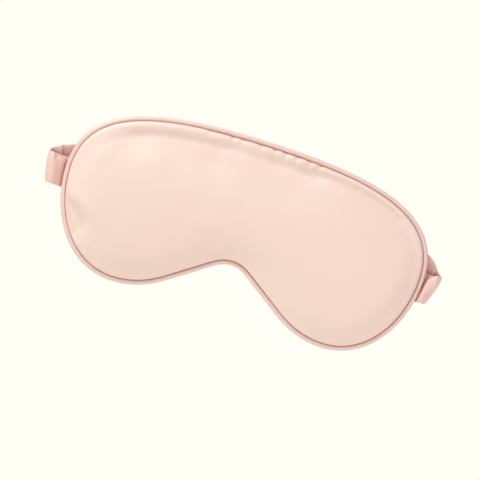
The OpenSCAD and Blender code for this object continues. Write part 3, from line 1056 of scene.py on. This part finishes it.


# Each satin's occlusion tint and reach below is painted shade, for the brow hollow, the groove by the piping
# and the strap's loops.
panel_satin = satin("panel_satin", (0.865, 0.685, 0.62), (0.82, 0.63, 0.565), thread_scale=(5200, 5200, 700),
                    gloss=0.1, roughness=0.55, painted_shade_tint=(0.88, 0.73, 0.76), painted_shade_reach=9 * MM,
                    painted_shade_ramp=(3.0, -0.25))
# The piping's colour is a darker copy of the panel's satin: painted shade for its round bias-cut strip
# turning from the light.
piping_satin = satin("piping_satin", (0.85, 0.63, 0.57), (0.78, 0.55, 0.50), thread_scale=(3000, 3000, 3000),
                     gloss=0.15, roughness=0.5, painted_shade_tint=(0.97, 0.80, 0.80), painted_shade_reach=6 * MM,
                     painted_shade_ramp=(1.1, -0.1))
# The strap's colour is a darker, pinker copy of the panel's satin: painted shade for the shaded faces of its
# loops.
strap_satin = satin("strap_satin", (0.86, 0.62, 0.565), (0.79, 0.52, 0.475), thread_scale=(900, 5200, 5200),
                    gloss=0.15, roughness=0.5, painted_shade_tint=(0.52, 0.2, 0.2), painted_shade_reach=16 * MM,
                    painted_shade_ramp=(1.0, -0.15))
wadding_fibre = fibre("wadding_fibre", (0.9, 0.89, 0.86), scale=900.0, depth=0.4 * MM)
lining_weave = fibre("lining_weave", (0.09, 0.085, 0.085), scale=2600.0, depth=0.05 * MM)
cord_cotton = fibre("cord_cotton", (0.88, 0.86, 0.82), scale=1800.0, depth=0.08 * MM)
thread_twist = fibre("thread_twist", (0.78, 0.52, 0.48), scale=4200.0, depth=0.03 * MM, roughness=0.6)
elastic_knit = fibre("elastic_knit", (0.9, 0.88, 0.86), scale=1500.0, depth=0.1 * MM, roughness=0.8)


def paint(obj, material):
    obj.data.materials.clear()
    obj.data.materials.append(material)


def paint_node(name, material):
    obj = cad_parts[name]
    if not obj.material_slots:
        obj.data.materials.append(material)
    for s in obj.material_slots:
        s.material = material


def place(obj, material, slot, *nodes):
    paint(obj, material)
    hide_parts(*nodes)


place(front_panel, panel_satin, "satin", "front_panel")
place(back_panel, panel_satin, "satin", "back_panel")
place(piping, piping_satin, "piping_satin", "piping_cover")
place(cord, cord_cotton, "cord", "piping_cord")
place(front_wadding, wadding_fibre, "wadding", "front_wadding")
place(back_wadding, wadding_fibre, "wadding", "back_wadding")
place(cover, strap_satin, "strap_satin", "strap_cover", "left_strap_fold", "right_strap_fold")
place(elastic, elastic_knit, "elastic", "strap_elastic", "left_elastic_end", "right_elastic_end")
place(strap_seam, thread_twist, "thread", "strap_seam")
place(edge_seam, thread_twist, "thread", "edge_seam")
paint_node("blackout_lining", lining_weave)
for node_name in ("closing_stitches", "left_strap_tack", "right_strap_tack"):
    paint_node(node_name, thread_twist)

for piece in (front_panel, back_panel, piping, cord, edge_seam, front_wadding, back_wadding):
    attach(piece, "mask")
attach(strap_seam, "strap")
for piece in (cover, elastic):
    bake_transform(piece)


# ---- studio ----

BACKDROP = (1.0, 1.0, 0.914)
FILL_COLOUR = (1.0, 0.885, 0.91)
FILL_STRENGTH = 0.44
FLOOR_SIZE = 9.0
FLOOR_LEVEL = -0.45
FLOOR_SIDES = 48


def backdrop_material():
    material = bpy.data.materials.new("backdrop")
    material.use_nodes = True
    tree = material.node_tree
    tree.nodes.remove(tree.nodes["Principled BSDF"])
    glow = tree.nodes.new("ShaderNodeEmission")
    glow.inputs["Color"].default_value = rgba(*BACKDROP)
    tree.links.new(glow.outputs["Emission"], tree.nodes["Material Output"].inputs["Surface"])
    return material


def build_floor():
    ring = [(FLOOR_SIZE * math.cos(a), FLOOR_SIZE * math.sin(a), FLOOR_LEVEL)
            for a in round_turns(FLOOR_SIDES)]
    obj = make_object("floor", ring, [tuple(range(FLOOR_SIDES))])
    paint(obj, backdrop_material())


def build_world():
    world = bpy.data.worlds.new("studio")
    bpy.context.scene.world = world
    world.use_nodes = True
    tree = world.node_tree
    seen = tree.nodes["Background"]
    seen.inputs["Color"].default_value = rgba(*BACKDROP)
    fill = tree.nodes.new("ShaderNodeBackground")
    fill.inputs["Color"].default_value = rgba(*FILL_COLOUR)
    fill.inputs["Strength"].default_value = FILL_STRENGTH
    rays = tree.nodes.new("ShaderNodeLightPath")
    choose = tree.nodes.new("ShaderNodeMixShader")
    tree.links.new(rays.outputs["Is Camera Ray"], choose.inputs[0])
    tree.links.new(fill.outputs[0], choose.inputs[1])
    tree.links.new(seen.outputs[0], choose.inputs[2])
    tree.links.new(choose.outputs[0], tree.nodes["World Output"].inputs["Surface"])


def softbox(name, position, size, power, colour):
    light = bpy.data.lights.new(name, "AREA")
    light.shape = "DISK"
    light.size = size
    light.energy = power
    light.color = colour
    obj = bpy.data.objects.new(name, light)
    obj.location = position
    obj.rotation_euler = (-Vector(position)).to_track_quat("-Z", "Y").to_euler()
    bpy.context.scene.collection.objects.link(obj)


ROLL = math.radians(17.68)       # the camera's lean, which tips the mask to the right
LENS = 200.0
SENSOR = 36.0
FIELD = 0.268                    # width of the view at the mask
AIM_RIGHT = -2.5 * MM            # the view's middle, from the origin, along the camera's own axes
AIM_UP = -8.9 * MM


def build_camera():
    data = bpy.data.cameras.new("camera")
    data.lens = LENS
    data.sensor_width = SENSOR
    obj = bpy.data.objects.new("camera", data)
    bpy.context.scene.collection.objects.link(obj)
    right = Vector((math.cos(ROLL), 0, math.sin(ROLL)))
    up = Vector((-math.sin(ROLL), 0, math.cos(ROLL)))
    forward = Vector((0, 1, 0))
    basis = Matrix((right, up, -forward)).transposed()
    place_at = right * AIM_RIGHT + up * AIM_UP - forward * (FIELD * LENS / SENSOR)
    obj.matrix_world = Matrix.Translation(place_at) @ basis.to_4x4()
    bpy.context.scene.camera = obj


build_floor()
build_world()
softbox("key", (-0.82, -0.57, 1.13), size=0.8, power=17.0, colour=(0.96, 1.05, 0.985))
softbox("front", (0.8, -1.4, -0.2), size=1.2, power=6.2, colour=(1.0, 0.88, 0.905))
softbox("rear", (0.6, 1.4, 0.9), size=1.2, power=13.0, colour=(1.0, 0.97, 0.95))
build_camera()
bpy.context.scene.view_settings.view_transform = "Standard"
